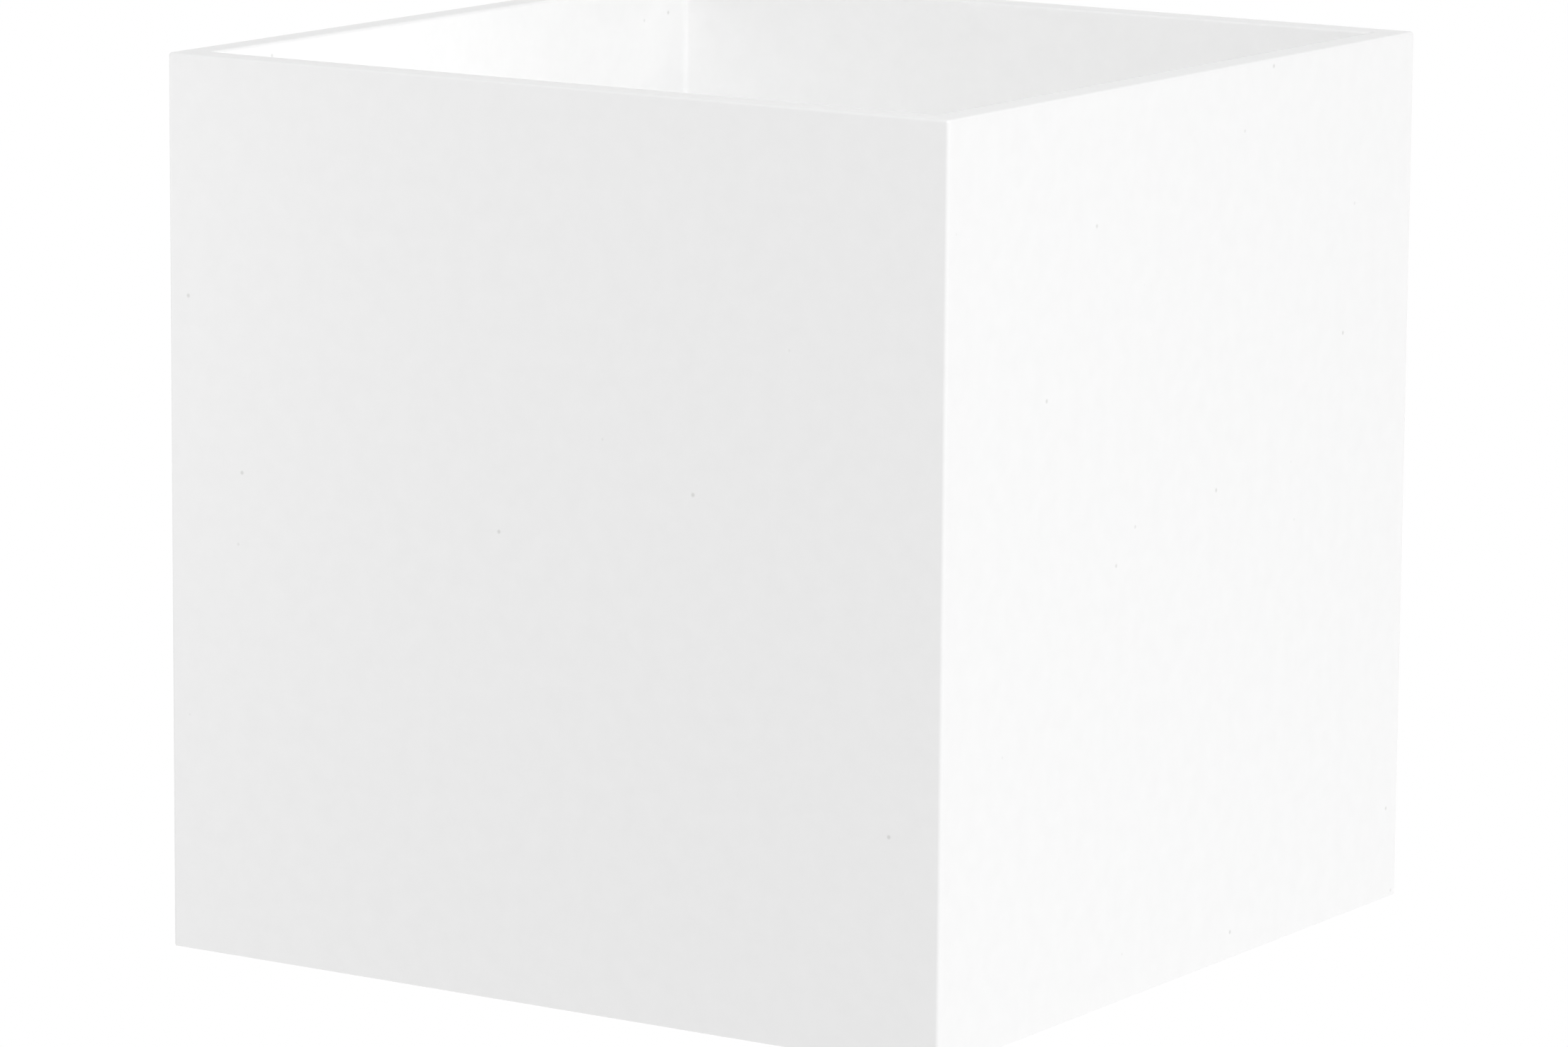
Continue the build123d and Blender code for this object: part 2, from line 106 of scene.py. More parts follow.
NUT_BACK = 5.5
NUT_HEIGHT = 6.0
NUT_DIAMETER = 10.0
NUT_COLLAR = 7.6
NUT_COLLAR_HEIGHT = 1.6
NUT_COLLAR_BEVEL = 0.2
NUT_BORE_BEVELS = (0.35, 0.4)
NUT_HEAD_BEVELS = (0.45, 0.5)
NUT_GROOVE = 0.35
NUT_KNURLS = 36
KNURL_RADIUS = 0.36
KNURL_BEVEL = 0.08
KNURL_MARGIN = 0.45

GROMMET_BORE = 7.0
GROMMET_NECK = 11.0
GROMMET_FLANGE = 14.0
GROMMET_LIP = 1.5
GROMMET_PLAY = 0.05
GROMMET_BORE_ROUNDS = (0.5, 0.6)
GROMMET_FLANGE_ROUNDS = (0.6, 0.7)

RIVET_Z = 15.0
RIVET_SHANK = 3.2
RIVET_HEAD = 5.6
RIVET_HEAD_HEIGHT = 1.4
RIVET_TAIL = 4.8
RIVET_TAIL_HEIGHT = 1.2
RIVET_TAIL_BEVEL = 0.5
RIVET_DIMPLE = 1.8
RIVET_DIMPLE_FLOOR = 1.4
RIVET_DIMPLE_DEPTH = 0.6

COVER_DIAMETER = 16.0
COVER_WALL = 1.0
COVER_DOME = 6.0
COVER_BACK = 46.4
COVER_TIP = 77.0

NECK_BACK = 33.4
PIN_X = 4.5
PIN_WIRE = 0.9
PIN_BEND_RADIUS = 1.0
PIN_LENGTH = 7.5
PIN_BEND_STEPS = 12

SPIGOT_FRONT = 48.4
CORE_SIDE = 8.0
CORE_LENGTH = 21.6
LED_ROWS = 5
LED_PITCH = 4.2
LED_FIRST = 2.3
LED_LENGTH = 3.5
LED_WIDTH = 2.8
LED_HEIGHT = 0.7
LED_RIM = 0.35
LED_POOL_DROP = 0.12

LEAD_DIAMETER = 2.0

# How near two points are joined, in millimetres: in a mesh made here, and in one from the CAD
MADE_GAP = 0.001
CAD_GAP = 0.002

# Where most values of a noise lie
NOISE_LOW = 0.3
NOISE_HIGH = 0.7


def linear(hex_colour):
    """An sRGB hex colour as linear red, green, blue and alpha."""
    values = [int(hex_colour[i:i + 2], 16) / 255 for i in (1, 3, 5)]
    return (*[v / 12.92 if v <= 0.04045 else ((v + 0.055) / 1.055) ** 2.4 for v in values], 1.0)


def add(tree, kind, inputs=None, **settings):
    """Adds a node: settings are its own properties, inputs are values or other nodes' sockets."""
    node = tree.nodes.new(kind)
    for name, value in settings.items():
        setattr(node, name, value)
    for name, value in (inputs or {}).items():
        if isinstance(value, bpy.types.NodeSocket):
            tree.links.new(value, node.inputs[name])
        else:
            node.inputs[name].default_value = value
    return node


# What the finishes share
# A pattern's size is the width of its patches in millimetres
# Real grain on ceramic, rubber, plastic and plate is finer than it is here: it is drawn coarse enough to show
def surface_of(name, colour, roughness, metallic=0.0, sockets=None):
    """A material with its surface shader, and the place that its patterns are drawn in."""
    material = bpy.data.materials.new(name)
    material.use_nodes = True
    tree = material.node_tree
    tree.nodes.clear()
    values = {"Base Color": linear(colour), "Roughness": roughness, "Metallic": metallic}
    surface = add(tree, "ShaderNodeBsdfPrincipled", {**values, **(sockets or {})})
    add(tree, "ShaderNodeOutputMaterial", {"Surface": surface.outputs["BSDF"]})
    place = add(tree, "ShaderNodeTexCoord").outputs["Object"]
    return material, tree, surface, place


def tinted(tree, surface, place, size, dark, light, detail=2.0):
    """Lets the base colour drift between two colours."""
    noise = add(tree, "ShaderNodeTexNoise", {"Vector": place, "Scale": 1 / (size * MM), "Detail": detail})
    ramp = add(tree, "ShaderNodeValToRGB", {"Fac": noise.outputs["Fac"]})
    for element, position, colour in zip(ramp.color_ramp.elements, (NOISE_LOW, NOISE_HIGH), (dark, light)):
        element.position = position
        element.color = linear(colour)
    tree.links.new(ramp.outputs["Color"], surface.inputs["Base Color"])


def worn(tree, surface, place, size, low, high):
    """Lets the roughness drift between two values."""
    noise = add(tree, "ShaderNodeTexNoise", {"Vector": place, "Scale": 1 / (size * MM), "Detail": 2.0})
    span = {"From Min": NOISE_LOW, "From Max": NOISE_HIGH, "To Min": low, "To Max": high}
    wear = add(tree, "ShaderNodeMapRange", {"Value": noise.outputs["Fac"], **span})
    tree.links.new(wear.outputs["Result"], surface.inputs["Roughness"])


def raised(tree, surface, field, height):
    """Raises the surface by a field, over what already raises it: the height is in millimetres."""
    bump = add(tree, "ShaderNodeBump", {"Height": field, "Distance": height * MM})
    for link in surface.inputs["Normal"].links:
        tree.links.new(link.from_socket, bump.inputs["Normal"])
    tree.links.new(bump.outputs["Normal"], surface.inputs["Normal"])


def grained(tree, surface, place, size, height, detail=2.0):
    """Raises the surface by a fine random grain."""
    noise = add(tree, "ShaderNodeTexNoise", {"Vector": place, "Scale": 1 / (size * MM), "Detail": detail})
    raised(tree, surface, noise.outputs["Fac"], height)


# Finishes, each named for what the real piece is made of
def white_powder_coat():
    """Polyester powder, baked on: a satin white skin with a fine orange peel and rare nibs."""
    # Nibs: how far apart their cells are, and the core, foot and height of each, in millimetres
    nib_cell, nib_core, nib_foot, nib_height = 6.0, 0.12, 0.3, 0.02
    # The share of cells that have one, and how far each one darkens the coat towards grey
    nib_chance, nib_shade = 0.35, 0.55
    material, tree, surface, place = surface_of("white_powder_coat", "#f3f3f3", roughness=0.46)
    tinted(tree, surface, place, size=2.5, dark="#f2f2f2", light="#f4f4f4", detail=4.0)
    clean = surface.inputs["Base Color"].links[0].from_socket
    cells = add(tree, "ShaderNodeTexVoronoi", {"Vector": place, "Scale": 1 / (nib_cell * MM)})
    span = {"From Min": nib_core / nib_cell, "From Max": nib_foot / nib_cell, "To Min": 1.0, "To Max": 0.0}
    near = add(tree, "ShaderNodeMapRange", {"Value": cells.outputs["Distance"], **span})
    chance = add(tree, "ShaderNodeSeparateColor", {"Color": cells.outputs["Color"]})
    rare = add(tree, "ShaderNodeMath", {0: chance.outputs["Red"], 1: nib_chance}, operation="LESS_THAN")
    nib = add(tree, "ShaderNodeMath", {0: near.outputs["Result"], 1: rare.outputs[0]}, operation="MULTIPLY")
    share = add(tree, "ShaderNodeMath", {0: nib.outputs[0], 1: nib_shade}, operation="MULTIPLY")
    colours = {"Factor": share.outputs[0], "A": clean, "B": linear("#c9c9c7")}
    coat = add(tree, "ShaderNodeMix", colours, data_type="RGBA")
    tree.links.new(coat.outputs["Result"], surface.inputs["Base Color"])
    grained(tree, surface, place, size=0.75, height=0.006)
    grained(tree, surface, place, size=0.28, height=0.003, detail=1.0)
    raised(tree, surface, nib.outputs[0], nib_height)
    return material


def zinc_plated_steel():
    """Sheet steel with a bright passivated zinc plate: blue-grey with a faint warm bloom."""
    material, tree, surface, place = surface_of("zinc_plated_steel", "#b9bec2", roughness=0.42, metallic=1.0)
    tinted(tree, surface, place, size=6.0, dark="#b3b9bd", light="#babec0", detail=3.0)
    worn(tree, surface, place, size=1.2, low=0.38, high=0.46)
    grained(tree, surface, place, size=0.3, height=0.004)
    return material


def nickel_plated_brass():
    """Turned brass with bright nickel: warm silver, with faint marks from the lathe."""
    material, tree, surface, place = surface_of("nickel_plated_brass", "#d6cfbf",
                                                roughness=0.22, metallic=1.0)
    worn(tree, surface, place, size=0.8, low=0.18, high=0.30)
    return material


def black_rubber():
    """Moulded rubber, dull with a bloom of dust in its grain."""
    material, tree, surface, place = surface_of("black_rubber", "#1c1c1d", roughness=0.62)
    tinted(tree, surface, place, size=1.5, dark="#19191a", light="#262627", detail=3.0)
    grained(tree, surface, place, size=0.25, height=0.01)
    return material


def steatite():
    """Pressed and fired soapstone ceramic, unglazed: warm white with a dry fine grain."""
    material, tree, surface, place = surface_of("steatite", "#ece7da", roughness=0.5, sockets={"IOR": 1.58})
    tinted(tree, surface, place, size=1.6, dark="#e8e3d6", light="#eeeade", detail=4.0)
    grained(tree, surface, place, size=0.35, height=0.012)
    return material


def spring_bronze():
    """Rolled phosphor bronze strip, rosy and slightly streaked along the rolling."""
    material, tree, surface, place = surface_of("spring_bronze", "#c08d63", roughness=0.28, metallic=1.0)
    tinted(tree, surface, place, size=1.6, dark="#b07a50", light="#cb9b70")
    return material


def natural_polyamide():
    """Undyed moulded nylon: milky, and light goes a little way into it."""
    inside = {"Subsurface Weight": 0.35, "Subsurface Scale": 1.2 * MM, "IOR": 1.53}
    material, tree, surface, place = surface_of("natural_polyamide", "#ebe8dc",
                                                roughness=0.38, sockets=inside)
    grained(tree, surface, place, size=0.4, height=0.006)
    return material


def bare_brass():
    """Drawn brass bar, sawn and drilled: yellow, a little dull where it was handled."""
    material, tree, surface, place = surface_of("bare_brass", "#d3b066", roughness=0.26, metallic=1.0)
    worn(tree, surface, place, size=0.9, low=0.2, high=0.38)
    return material


def tinned_copper():
    """Stamped copper under a soft white tin plate."""
    material, tree, surface, place = surface_of("tinned_copper", "#d2d2cd", roughness=0.34, metallic=1.0)
    worn(tree, surface, place, size=0.7, low=0.28, high=0.42)
    return material


def silicone(name, colour, deep):
    """Extruded silicone rubber round a lead: soft sheen, faintly uneven in colour."""
    material, tree, surface, place = surface_of(name, colour, roughness=0.42, sockets={"IOR": 1.41})
    tinted(tree, surface, place, size=1.8, dark=deep, light=colour)
    grained(tree, surface, place, size=0.3, height=0.004)
    return material


def green_yellow_silicone():
    """The earth lead: green with yellow stripes along it, from the sleeve's own map."""
    # How many stripes there are round the lead, and the share of the way round that they take
    stripes, stripe_share = 2.0, 0.4
    material, tree, surface, place = surface_of("green_yellow_silicone", "#2f8b45",
                                                roughness=0.42, sockets={"IOR": 1.41})
    wrap = add(tree, "ShaderNodeUVMap")
    around = add(tree, "ShaderNodeSeparateXYZ", {"Vector": wrap.outputs["UV"]})
    twice = add(tree, "ShaderNodeMath", {0: around.outputs["X"], 1: stripes}, operation="MULTIPLY")
    turn_share = add(tree, "ShaderNodeMath", {0: twice.outputs[0]}, operation="FRACT")
    stripe = add(tree, "ShaderNodeMath", {0: turn_share.outputs[0], 1: stripe_share}, operation="LESS_THAN")
    colours = {"Factor": stripe.outputs[0], "A": linear("#2f8b45"), "B": linear("#e6cb2e")}
    mix = add(tree, "ShaderNodeMix", colours, data_type="RGBA")
    tree.links.new(mix.outputs["Result"], surface.inputs["Base Color"])
    grained(tree, surface, place, size=0.3, height=0.004)
    return material


def white_polybutylene():
    """Moulded polyester plastic: clean white with a satin mould finish."""
    material, tree, surface, place = surface_of("white_polybutylene", "#f0f0ec",
                                                roughness=0.34, sockets={"IOR": 1.56})
    grained(tree, surface, place, size=0.35, height=0.005)
    return material


def bright_pin_wire():
    """Drawn nickel wire, bright."""
    material, tree, surface, place = surface_of("bright_pin_wire", "#dadad6", roughness=0.14, metallic=1.0)
    worn(tree, surface, place, size=0.5, low=0.1, high=0.2)
    return material


def white_solder_mask():
    """A screen-printed white mask on the circuit board, slightly glossy."""
    material, tree, surface, place = surface_of("white_solder_mask", "#f2f2ee", roughness=0.3)
    grained(tree, surface, place, size=0.6, height=0.004)
    return material


def diode_phosphor():
    """Silicone filled with yellow phosphor, which light goes into."""
    inside = {"Subsurface Weight": 0.4, "Subsurface Scale": 0.5 * MM}
    material, tree, surface, place = surface_of("diode_phosphor", "#f2cb45", roughness=0.35, sockets=inside)
    tinted(tree, surface, place, size=0.3, dark="#eec03a", light="#f5d258")
    return material


def clear_polycarbonate():
    """Moulded polycarbonate, smooth from a polished mould: clear, with small sharp reflections."""
    glass = {"Transmission Weight": 1.0, "IOR": 1.585}
    return surface_of("clear_polycarbonate", "#fbfcfc", roughness=0.03, sockets=glass)[0]


FINISHES = {
    "white_powder_coat": white_powder_coat(),
    "zinc_plated_steel": zinc_plated_steel(),
    "nickel_plated_brass": nickel_plated_brass(),
    "black_rubber": black_rubber(),
    "steatite": steatite(),
    "spring_bronze": spring_bronze(),
    "natural_polyamide": natural_polyamide(),
    "bare_brass": bare_brass(),
    "tinned_copper": tinned_copper(),
    "brown_silicone": silicone("brown_silicone", "#5a3420", "#4a2917"),
    "blue_silicone": silicone("blue_silicone", "#2a5cae", "#1f4b96"),
    "green_yellow_silicone": green_yellow_silicone(),
    "white_polybutylene": white_polybutylene(),
    "bright_pin_wire": bright_pin_wire(),
    "white_solder_mask": white_solder_mask(),
    "diode_phosphor": diode_phosphor(),
    "clear_polycarbonate": clear_polycarbonate(),
}


# How a mesh becomes a piece of the lamp
def piece(name, mesh, node, slot=None, edge=0.0, sharp=35.0):
    """Adds a finished piece that stands for a CAD node. Its edges are broken by edge, in millimetres,
    and an edge is what turns by more than sharp, in degrees."""
    slot = slot or SLOTS[node]
    made = bpy.data.objects.new(name, mesh)
    bpy.context.scene.collection.objects.link(made)
    mesh.materials.clear()
    mesh.materials.append(FINISHES[slot])
    mesh.shade_smooth()
    mesh.set_sharp_from_angle(angle=math.radians(sharp))
    if edge:
        broken = made.modifiers.new("broken_edges", "BEVEL")
        broken.width = edge * MM
        broken.segments = 2
        broken.limit_method = "ANGLE"
        broken.angle_limit = math.radians(sharp)
    made.modifiers.new("even_shading", "WEIGHTED_NORMAL").keep_sharp = True
    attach(made, NODES[node]["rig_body"])
    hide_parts(node)


def mesh_of(name, shape):
    """Closes a bmesh: doubles merged, faces outwards."""
    bmesh.ops.remove_doubles(shape, verts=shape.verts, dist=MADE_GAP * MM)
    bmesh.ops.recalc_face_normals(shape, faces=shape.faces)
    mesh = bpy.data.meshes.new(name)
    shape.to_mesh(mesh)
    shape.free()
    return mesh


def merged_copy(node):
    """The CAD piece's own mesh, with its loose triangles joined and its flat faces made whole."""
    shape = bmesh.new()
    shape.from_mesh(NODES[node].data)
    bmesh.ops.remove_doubles(shape, verts=shape.verts, dist=CAD_GAP * MM)
    bmesh.ops.dissolve_limit(shape, angle_limit=math.radians(1), verts=shape.verts, edges=shape.edges)
    mesh = bpy.data.meshes.new(node)
    shape.to_mesh(mesh)
    shape.free()
    return mesh


def turn(shape, outline, x=0.0, z=0.0, steps=48):
    """Adds a turned form about an axis away from the wall: its outline is in radius and depth."""
    near_axis = 0.001
    rings = []
    for radius, depth in outline:
        count = steps if radius > near_axis else 1
        angles = [2 * math.pi * step / steps for step in range(count)]
        places = [(x + radius * math.cos(a), -depth, z + radius * math.sin(a)) for a in angles]
        rings.append([shape.verts.new([v * MM for v in place]) for place in places])
    closed = outline[0][0] > near_axis and outline[-1][0] > near_axis
    pairs = list(zip(rings, rings[1:])) + ([(rings[-1], rings[0])] if closed else [])
    for first, second in pairs:
        if len(first) == len(second) == 1:
            continue
        for step in range(steps):
            after = (step + 1) % steps
            corners = [first[step % len(first)], first[after % len(first)],
                       second[after % len(second)], second[step % len(second)]]
            shape.faces.new(list(dict.fromkeys(corners)))


def arc(centre, radius, start, end, steps=8):
    """Points of an arc in radius and depth, with its angles in degrees from straight outwards."""
    angles = [math.radians(start + (end - start) * step / steps) for step in range(steps + 1)]
    return [(centre[0] + radius * math.cos(a), centre[1] + radius * math.sin(a)) for a in angles]


def slab(shape, low, high):
    """Adds a box between two corners, given as x, depth and height."""
    centre = [(a + b) / 2 for a, b in zip(low, high)]
    size = [b - a for a, b in zip(low, high)]
    place = Matrix.Translation((centre[0] * MM, -centre[1] * MM, centre[2] * MM))
    scale = Matrix.Diagonal((size[0] * MM, size[1] * MM, size[2] * MM, 1))
    bmesh.ops.create_cube(shape, size=1, matrix=place @ scale)


# Geometry Nodes: what repeats round an axis, and what follows a helix
def geometry_tree(name, *inputs):
    """A tree with these inputs and one output, and the sockets of its inputs."""
    tree = bpy.data.node_groups.new(name, "GeometryNodeTree")
    for label, kind in inputs:
        tree.interface.new_socket(label, in_out="INPUT", socket_type="NodeSocket" + kind)
    tree.interface.new_socket("Geometry", in_out="OUTPUT", socket_type="NodeSocketGeometry")
    return tree, tree.nodes.new("NodeGroupInput").outputs


def end_tree(tree, given, geometry):
    """Ends a tree with its geometry put in place, made real and given its finish."""
    placed = add(tree, "GeometryNodeTransform", {"Geometry": geometry, "Translation": given["Place"]})
    plain = add(tree, "GeometryNodeRealizeInstances", {"Geometry": placed.outputs["Geometry"]})
    finish = {"Geometry": plain.outputs["Geometry"], "Material": given["Material"]}
    coated = add(tree, "GeometryNodeSetMaterial", finish)
    add(tree, "NodeGroupOutput", {"Geometry": coated.outputs["Geometry"]})
    return tree


def rows_round_axis():
    """Copies a piece in a row that runs away from the wall, and the row round that axis."""
    tree, given = geometry_tree("rows_round_axis", ("Piece", "Object"), ("Rows", "Int"), ("Pitch", "Float"),
                                ("Sides", "Int"), ("Place", "Vector"), ("Material", "Material"))
    source = add(tree, "GeometryNodeObjectInfo", {"Object": given["Piece"]})
    step = add(tree, "ShaderNodeMath", {0: given["Pitch"], 1: -1.0}, operation="MULTIPLY")
    offset = add(tree, "ShaderNodeCombineXYZ", {"Y": step.outputs[0]})
    line = add(tree, "GeometryNodeMeshLine", {"Count": given["Rows"], "Offset": offset.outputs["Vector"]})
    along = {"Points": line.outputs["Mesh"], "Instance": source.outputs["Geometry"]}
    row = add(tree, "GeometryNodeInstanceOnPoints", along)
    centre = add(tree, "GeometryNodePoints", {"Count": given["Sides"]})
    share = add(tree, "ShaderNodeMath", {0: 2 * math.pi, 1: given["Sides"]}, operation="DIVIDE")
    index = add(tree, "GeometryNodeInputIndex").outputs["Index"]
    angle = add(tree, "ShaderNodeMath", {0: index, 1: share.outputs[0]}, operation="MULTIPLY")
    turned = add(tree, "ShaderNodeCombineXYZ", {"Y": angle.outputs[0]})
    around = {"Points": centre.outputs["Points"], "Instance": row.outputs["Instances"]}
    ring = add(tree, "GeometryNodeInstanceOnPoints", {**around, "Rotation": turned.outputs["Vector"]})
    return end_tree(tree, given, ring.outputs["Instances"])


def thread_ridge():
    """A screw thread: a ridge with a flat crest that follows a helix out from the wall."""
    tree, given = geometry_tree("thread_ridge", ("Turns", "Float"), ("Radius", "Float"), ("Length", "Float"),
                                ("Root", "Float"), ("Crest", "Float"), ("Height", "Float"),
                                ("Place", "Vector"), ("Material", "Material"))
    radii = {"Start Radius": given["Radius"], "End Radius": given["Radius"]}
    rise = {"Resolution": 32, "Rotations": given["Turns"], "Height": given["Length"]}
    helix = add(tree, "GeometryNodeCurveSpiral", {**rise, **radii})
    upright = add(tree, "GeometryNodeSetCurveNormal", {"Curve": helix.outputs["Curve"]}, mode="Z_UP")
    widths = {"Bottom Width": given["Root"], "Top Width": given["Crest"], "Offset": 0.0}
    flanks = {**widths, "Height": given["Height"]}
    section = add(tree, "GeometryNodeCurvePrimitiveQuadrilateral", flanks, mode="TRAPEZOID")
    sweep = {"Curve": upright.outputs["Curve"], "Profile Curve": section.outputs["Curve"], "Fill Caps": True}
    ridge = add(tree, "GeometryNodeCurveToMesh", sweep)
    lean = {"Geometry": ridge.outputs["Mesh"], "Rotation": (math.pi / 2, 0, 0)}
    outwards = add(tree, "GeometryNodeTransform", lean)
    return end_tree(tree, given, outwards.outputs["Geometry"])


def grown(name, tree, **values):
    """The plain mesh that a tree makes with these inputs."""
    seed = bpy.data.objects.new(name, bpy.data.meshes.new(name))
    bpy.context.scene.collection.objects.link(seed)
    modifier = seed.modifiers.new("grown", "NODES")
    modifier.node_group = tree
    for socket in tree.interface.items_tree:
        if socket.in_out == "INPUT":
            modifier[socket.identifier] = values[socket.name]
    bpy.context.view_layer.update()
    mesh = bpy.data.meshes.new_from_object(seed.evaluated_get(bpy.context.evaluated_depsgraph_get()))
    bpy.data.objects.remove(seed)
    return mesh


def repeated(shape, source, slot, rows=1, pitch=0.0, sides=1, place=(0, 0, 0)):
    """Adds copies of a bmesh, in rows round an axis, to a shape."""
    model = bpy.data.objects.new("model", mesh_of("model", source))
    bpy.context.scene.collection.objects.link(model)
    mesh = grown("repeated", ROWS, Piece=model, Rows=rows, Pitch=pitch * MM, Sides=sides,
                 Place=[v * MM for v in place], Material=FINISHES[slot])
    bpy.data.objects.remove(model)
    shape.from_mesh(mesh)


ROWS = rows_round_axis()
THREAD = thread_ridge()


# Pieces that keep the CAD piece's form, and how far tumbling, sawing or moulding breaks their edges
KEPT_FORMS = {
    "body_tube": 0.0,
    "wall_plate": 0.2,
    "gear_tray": 0.2,
    "stud_washers": 0.08,
    "holder_bridge": 0.2,
    "holder_screws": 0.12,
    "holder_nuts": 0.2,
    "block_screws": 0.12,
    "earth_washer": 0.08,
    "earth_screw": 0.2,
    "terminal_screws": 0.12,
    "holder_base": 0.35,
    "holder_cap": 0.35,
    "holder_contacts": 0.06,
    "terminal_block": 0.25,
    "terminal_sleeves": 0.15,
    "earth_tag": 0.1,
    "capsule_base": 0.25,
    "capsule_core": 0.15,
}


def kept_forms():
    for node, edge in KEPT_FORMS.items():
        piece(node + "_finished", merged_copy(node), node, edge=edge)


# Threaded studs
def plate_studs():
    shape = bmesh.new()
    core, crest = STUD_CORE / 2, THREAD_DIAMETER / 2
    height = crest - core
    turns = (STUD_END - PLATE_FRONT - THREAD_RUN_IN - THREAD_RUN_OUT) / THREAD_PITCH
    outline = [(0, 0), (STUD_COLLAR / 2, 0), (STUD_COLLAR / 2, PLATE_FRONT), (core, PLATE_FRONT)]
    outline += [(core, STUD_END - STUD_BEVEL), (core - STUD_BEVEL, STUD_END), (0, STUD_END)]
    sizes = {"Radius": core + height / 2, "Length": turns * THREAD_PITCH, "Height": height,
             "Root": THREAD_ROOT_SHARE * THREAD_PITCH, "Crest": THREAD_CREST_SHARE * THREAD_PITCH}
    values = {name: v * MM for name, v in sizes.items()}
    values.update({"Turns": turns, "Material": FINISHES["zinc_plated_steel"]})
    for x in (-STUD_X, STUD_X):
        turn(shape, outline, x)
        start = (x * MM, -(PLATE_FRONT + THREAD_RUN_IN) * MM, 0)
        shape.from_mesh(grown("ridge", THREAD, Place=start, **values))
    piece("threaded_studs", mesh_of("studs", shape), "plate_studs")


# Knurled nuts, turned by hand
def knurl(outside, back, front):
    """One ridge of the knurling, on the nut's right side."""
    ridge = bmesh.new()
    bmesh.ops.create_cone(ridge, cap_ends=True, segments=4, radius1=KNURL_RADIUS * MM,
                          radius2=KNURL_RADIUS * MM, depth=(front - back - 2 * KNURL_MARGIN) * MM)
    edges = [edge for edge in ridge.edges if edge.is_manifold]
    bmesh.ops.bevel(ridge, geom=edges, offset=KNURL_BEVEL * MM, segments=1, affect="EDGES")
    place = Matrix.Translation(((outside - KNURL_RADIUS) * MM, -(back + front) / 2 * MM, 0))
    lean = Matrix.Rotation(math.pi / 2, 4, "X")
    bmesh.ops.transform(ridge, matrix=place @ lean, verts=ridge.verts)
    return ridge


def thumb_nuts():
    shape = bmesh.new()
    bore, collar, outside = THREAD_DIAMETER / 2, NUT_COLLAR / 2, NUT_DIAMETER / 2
    bore_back, bore_front = NUT_BORE_BEVELS
    head_back, head_front = NUT_HEAD_BEVELS
    groove = outside - NUT_GROOVE
    knurl_back = NUT_BACK + NUT_COLLAR_HEIGHT
    front = NUT_BACK + NUT_HEIGHT
    outline = [(bore + bore_back, NUT_BACK), (collar - NUT_COLLAR_BEVEL, NUT_BACK)]
    outline += [(collar, NUT_BACK + NUT_COLLAR_BEVEL), (collar, knurl_back)]
    outline += [(groove - head_back, knurl_back), (groove, knurl_back + head_back)]
    outline += [(groove, front - head_front), (groove - head_front, front)]
    outline += [(bore + bore_front, front), (bore, front - bore_front), (bore, NUT_BACK + bore_back)]
    for x in (-STUD_X, STUD_X):
        turn(shape, outline, x, steps=72)
        ridge = knurl(outside, knurl_back, front)
        repeated(shape, ridge, "nickel_plated_brass", sides=NUT_KNURLS, place=(x, 0, 0))
    piece("knurled_nuts", mesh_of("nuts", shape), "thumb_nuts", sharp=25)


# Cable grommet, with round lips
def cable_grommet():
    shape = bmesh.new()
    bore, neck, flange = GROMMET_BORE / 2, GROMMET_NECK / 2, GROMMET_FLANGE / 2
    back, front = TRAY_BACK - GROMMET_LIP, TRAY_FRONT + GROMMET_LIP
    lip_back, lip_front = TRAY_BACK - GROMMET_PLAY, TRAY_FRONT + GROMMET_PLAY
    bore_back, bore_front = GROMMET_BORE_ROUNDS
    flange_back, flange_front = GROMMET_FLANGE_ROUNDS
    outline = arc((bore + bore_back, back + bore_back), bore_back, 180, 270, 5)
    outline += arc((flange - flange_back, back + flange_back), flange_back, -90, 0, 5)
    outline += [(flange, lip_back), (neck, lip_back), (neck, lip_front)]
    outline += arc((flange - flange_front, lip_front + flange_front), flange_front, -40, 90, 8)
    outline += arc((bore + bore_front, front - bore_front), bore_front, 90, 180, 5)
    turn(shape, outline)
    piece("cable_grommet_moulding", mesh_of("grommet", shape), "cable_grommet")


# Rivets with round heads
def bridge_rivets():
    shape = bmesh.new()
    foot_front = TRAY_FRONT + BRIDGE_SHEET
    shank, head, tail = RIVET_SHANK / 2, RIVET_HEAD / 2, RIVET_TAIL / 2
    tail_back, dimple_floor = TRAY_BACK - RIVET_TAIL_HEIGHT, TRAY_BACK - RIVET_DIMPLE_DEPTH
    swings = [math.radians(90 * step / 8) for step in range(1, 9)]
    outline = [(0, foot_front + RIVET_HEAD_HEIGHT)]
    outline += [(head * math.sin(a), foot_front + RIVET_HEAD_HEIGHT * math.cos(a)) for a in swings]
    outline += [(shank, foot_front), (shank, TRAY_BACK), (tail, TRAY_BACK)]
    outline += [(tail, tail_back + RIVET_TAIL_BEVEL), (tail - RIVET_TAIL_BEVEL, tail_back)]
    outline += [(RIVET_DIMPLE / 2, tail_back), (RIVET_DIMPLE_FLOOR / 2, dimple_floor), (0, dimple_floor)]
    for z in (-RIVET_Z, RIVET_Z):
        turn(shape, outline, z=z)
    piece("round_head_rivets", mesh_of("rivets", shape), "bridge_rivets")


# Capsule cover: a clear moulding with a round end
def capsule_cover():
    shape = bmesh.new()
    outside, inside = COVER_DIAMETER / 2, COVER_DIAMETER / 2 - COVER_WALL
    centre = (outside - COVER_DOME, COVER_TIP - COVER_DOME)
    outline = [(outside, COVER_BACK)] + arc(centre, COVER_DOME, 0, 90, 12)
    outline += [(0, COVER_TIP), (0, COVER_TIP - COVER_WALL)]
    outline += arc(centre, COVER_DOME - COVER_WALL, 90, 0, 12) + [(inside, COVER_BACK)]
    turn(shape, outline, steps=64)
    piece("clear_capsule_cover", mesh_of("cover", shape), "capsule_cover")


